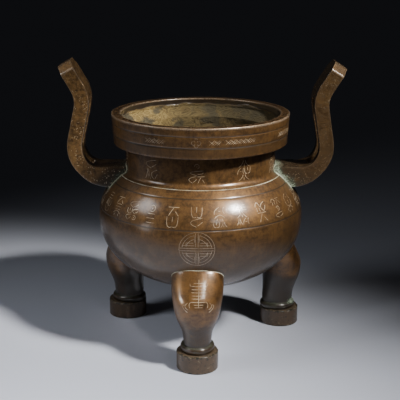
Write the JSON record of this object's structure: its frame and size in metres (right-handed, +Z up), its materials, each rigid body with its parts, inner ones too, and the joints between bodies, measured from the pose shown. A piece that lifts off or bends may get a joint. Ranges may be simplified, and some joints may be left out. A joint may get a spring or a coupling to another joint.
{
  "type": "bronze tripod censer",
  "caption": "Round-bellied bronze censer with a heavy collared rim, standing on cast legs with drum feet, with upright S-shaped loop handles and fine silver wire inlay.",
  "frame": {"origin": "on the floor, under the middle of the whole object: midway between the front leg's knee and the back of the belly, and midway between the handles' tips; the vessel's turning axis is 1.9 mm towards -X and 4.2 mm towards +Y from it", "axes": "+Z up along the vessel's axis, the front leg towards -Y, the handles on +X and -X"},
  "size_m": [0.2626, 0.1994, 0.266],
  "materials": {
    "bowl_bronze": "patinated brown bronze, worn to a soft gloss",
    "leg_bronze": "patinated orange-brown bronze, worn to a soft gloss",
    "handle_bronze": "patinated brown bronze, pitted",
    "silver_inlay": "dull old silver wire, hammered flush"
  },
  "bodies": {
    "root": {"bowl": "bowl_bronze", "front_leg": "leg_bronze", "rear_left_leg": "leg_bronze", "rear_right_leg": "leg_bronze", "left_handle": "handle_bronze", "right_handle": "handle_bronze"}
  },
  "joints": []
}
